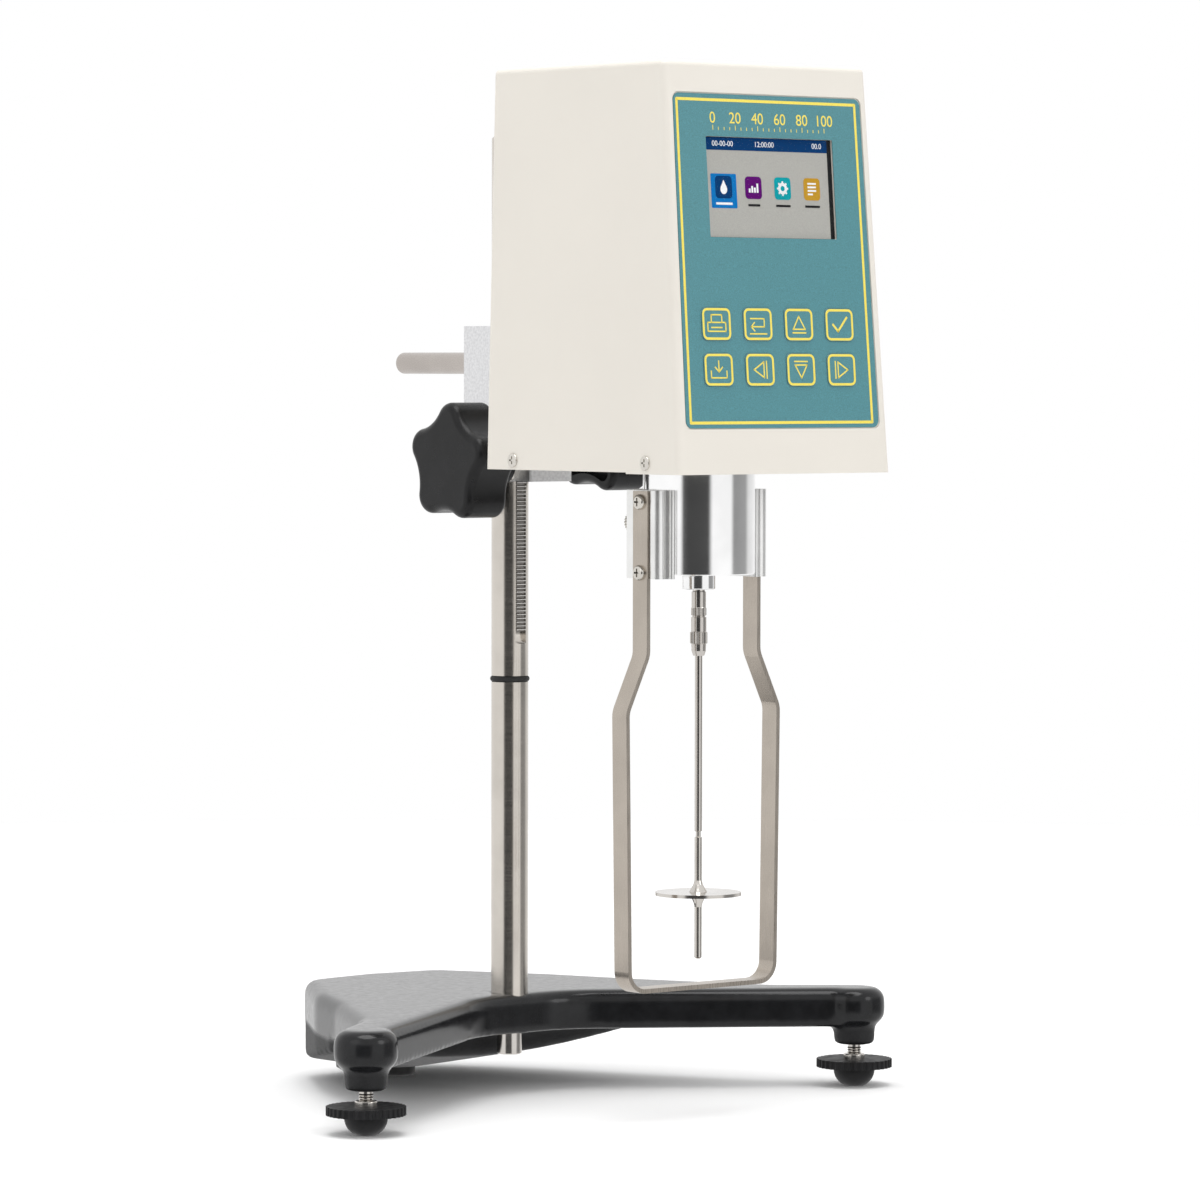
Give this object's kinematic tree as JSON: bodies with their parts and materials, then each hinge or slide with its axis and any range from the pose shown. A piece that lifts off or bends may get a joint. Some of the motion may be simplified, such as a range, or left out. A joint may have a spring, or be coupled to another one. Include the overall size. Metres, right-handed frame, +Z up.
{
  "type": "rotational viscometer",
  "caption": "Bench rotational viscometer: a cream measuring head with panel and keys, disc spindle in a U guard, on a rack post with knobs and a black tripod base",
  "frame": {"origin": "middle of the footprint on the bench surface, under the feet", "axes": "+Z up, -Y to the front where the control panel looks, +X to the right of someone standing behind the head"},
  "size_m": [0.2904, 0.2782, 0.4238],
  "materials": {
    "black_enamel": "black enamel, smooth on the edges, cast grain below",
    "housing_paint": "cream powder coat",
    "post_steel": "drawn and ground bar",
    "rack_steel": "milled teeth",
    "stainless": "fine turned",
    "strip_steel": "warm satin nickel",
    "bright_aluminium": "polished",
    "cast_aluminium": "bead blasted",
    "screw_steel": "bright plated",
    "knob_plastic": "moulded, slight sheen",
    "black_plastic": "fine grain",
    "black_rubber": "matt",
    "ring_rubber": "matt",
    "panel_film": "printed film, teal",
    "key_film": "raised film keys, teal with a yellow outline",
    "window_pane": "clear acrylic",
    "display_grey": "lit colour display",
    "board_green": "circuit board",
    "motor_metal": "plain can",
    "brass_bright": "turned",
    "level_fluid": "green tinted vial"
  },
  "bodies": {
    "base": {"base_casting": "black_enamel", "rear_foot_pad": "black_rubber", "post": "post_steel", "rack_bar": "rack_steel", "post_o_ring": "ring_rubber", "post_nut": "screw_steel"},
    "foot_left_nut": {"foot_collar_left": "stainless"},
    "foot_left": {"foot_stud_left": "stainless", "foot_wheel_left": "black_plastic"},
    "foot_right_nut": {"foot_collar_right": "stainless"},
    "foot_right": {"foot_stud_right": "stainless", "foot_wheel_right": "black_plastic"},
    "carriage": {"lift_block": "cast_aluminium", "pinion_bush": "stainless", "rod_clamp_screw": "rack_steel"},
    "lift_drive": {"pinion_shaft": "rack_steel", "lift_knob": "knob_plastic"},
    "lock": {"lock_knob": "knob_plastic", "lock_stud": "screw_steel"},
    "rod": {"head_rod": "stainless"},
    "head": {"housing_cover": "housing_paint", "chassis_plate": "motor_metal", "cover_screws": "screw_steel", "label_panel": "panel_film", "display_window": "window_pane", "display_module": "display_grey", "key_board": "board_green", "nose_sleeve": "bright_aluminium", "nose_collar": "bright_aluminium", "jewel_bearing": "brass_bright", "pillars": "motor_metal", "motor_plate": "cast_aluminium", "motor": "motor_metal", "code_sensor": "black_plastic", "main_board": "board_green", "rod_socket": "cast_aluminium", "switch_frame": "black_plastic", "power_inlet": "black_plastic", "data_socket": "motor_metal", "probe_socket": "motor_metal", "level_cup": "bright_aluminium", "level_glass": "level_fluid"},
    "drive": {"drive_disc": "brass_bright"},
    "measuring_shaft": {"pivot_shaft": "stainless", "torsion_spring": "brass_bright", "coupling": "stainless", "spindle": "stainless"},
    "guard": {"guard_strip": "strip_steel", "guard_bracket": "bright_aluminium", "guard_screws": "screw_steel"},
    "guard_lock": {"guard_thumb_screw": "screw_steel"},
    "rocker": {"switch_rocker": "knob_plastic"},
    "key_body_1": {"key_1": "key_film"},
    "key_body_2": {"key_2": "key_film"},
    "key_body_3": {"key_3": "key_film"},
    "key_body_4": {"key_4": "key_film"},
    "key_body_5": {"key_5": "key_film"},
    "key_body_6": {"key_6": "key_film"},
    "key_body_7": {"key_7": "key_film"},
    "key_body_8": {"key_8": "key_film"}
  },
  "joints": [
    {"name": "foot_left_travel", "type": "slide", "parent": "base", "child": "foot_left_nut", "axis": [0, 0, 1], "range_m": [-0.004, 0.003]},
    {"name": "foot_left_turn", "type": "hinge", "parent": "foot_left_nut", "child": "foot_left", "pos_m": [-0.1292, -0.03505, 0.01], "axis": [0, 0, 1], "range_deg": [-1450, 1090]},
    {"name": "foot_right_travel", "type": "slide", "parent": "base", "child": "foot_right_nut", "axis": [0, 0, 1], "range_m": [-0.004, 0.003]},
    {"name": "foot_right_turn", "type": "hinge", "parent": "foot_right_nut", "child": "foot_right", "pos_m": [0.1292, -0.03505, 0.01], "axis": [0, 0, 1], "range_deg": [-1450, 1090]},
    {"name": "lift", "type": "slide", "parent": "base", "child": "carriage", "axis": [0, 0, 1], "range_m": [-0.045, 0.07]},
    {"name": "lift_knob_turn", "type": "hinge", "parent": "carriage", "child": "lift_drive", "pos_m": [-0.02, 0.02325, 0.26429], "axis": [1, 0, 0], "range_deg": [-620, 400]},
    {"name": "lock_knob_turn", "type": "hinge", "parent": "carriage", "child": "lock", "pos_m": [0.04, 0.03705, 0.2746], "axis": [1, 0, 0], "range_deg": [0, 360]},
    {"name": "rod_reach", "type": "slide", "parent": "carriage", "child": "rod", "axis": [0, -1, 0], "range_m": [-0.008, 0.03]},
    {"name": "head_tilt", "type": "hinge", "parent": "rod", "child": "head", "pos_m": [0.016, -0.00895, 0.3054], "axis": [0, 1, 0], "range_deg": [-6, 6]},
    {"name": "drive_spin", "type": "hinge", "parent": "head", "child": "drive", "pos_m": [0, -0.08545, 0.32], "axis": [0, 0, 1], "continuous": true},
    {"name": "spindle_spin", "type": "hinge", "parent": "head", "child": "measuring_shaft", "pos_m": [0, -0.08545, 0.2], "axis": [0, 0, 1], "continuous": true},
    {"name": "guard_swivel", "type": "hinge", "parent": "head", "child": "guard", "pos_m": [0, -0.08545, 0.237], "axis": [0, 0, 1], "range_deg": [-90, 90]},
    {"name": "guard_lock_turn", "type": "hinge", "parent": "guard", "child": "guard_lock", "pos_m": [0, -0.04695, 0.2409], "axis": [0, 1, 0], "range_deg": [0, 360]},
    {"name": "power_rocker", "type": "hinge", "parent": "head", "child": "rocker", "pos_m": [-0.03, -0.02134, 0.385], "axis": [1, 0, 0], "range_deg": [0, 12]},
    {"name": "key_1_press", "type": "slide", "parent": "head", "child": "key_body_1", "axis": [0, 0.9966, -0.0821], "range_m": [0, 0.0004], "stiffness_N_per_m": 800},
    {"name": "key_2_press", "type": "slide", "parent": "head", "child": "key_body_2", "axis": [0, 0.9966, -0.0821], "range_m": [0, 0.0004], "stiffness_N_per_m": 800},
    {"name": "key_3_press", "type": "slide", "parent": "head", "child": "key_body_3", "axis": [0, 0.9966, -0.0821], "range_m": [0, 0.0004], "stiffness_N_per_m": 800},
    {"name": "key_4_press", "type": "slide", "parent": "head", "child": "key_body_4", "axis": [0, 0.9966, -0.0821], "range_m": [0, 0.0004], "stiffness_N_per_m": 800},
    {"name": "key_5_press", "type": "slide", "parent": "head", "child": "key_body_5", "axis": [0, 0.9966, -0.0821], "range_m": [0, 0.0004], "stiffness_N_per_m": 800},
    {"name": "key_6_press", "type": "slide", "parent": "head", "child": "key_body_6", "axis": [0, 0.9966, -0.0821], "range_m": [0, 0.0004], "stiffness_N_per_m": 800},
    {"name": "key_7_press", "type": "slide", "parent": "head", "child": "key_body_7", "axis": [0, 0.9966, -0.0821], "range_m": [0, 0.0004], "stiffness_N_per_m": 800},
    {"name": "key_8_press", "type": "slide", "parent": "head", "child": "key_body_8", "axis": [0, 0.9966, -0.0821], "range_m": [0, 0.0004], "stiffness_N_per_m": 800}
  ],
  "couplings": [
    {"joint": "lift_knob_turn", "follows": "lift", "rad_per_m": -153.85},
    {"joint": "spindle_spin", "follows": "drive_spin", "ratio": 1},
    {"joint": "foot_left_turn", "follows": "foot_left_travel", "rad_per_m": 6283.2},
    {"joint": "foot_right_turn", "follows": "foot_right_travel", "rad_per_m": 6283.2}
  ]
}
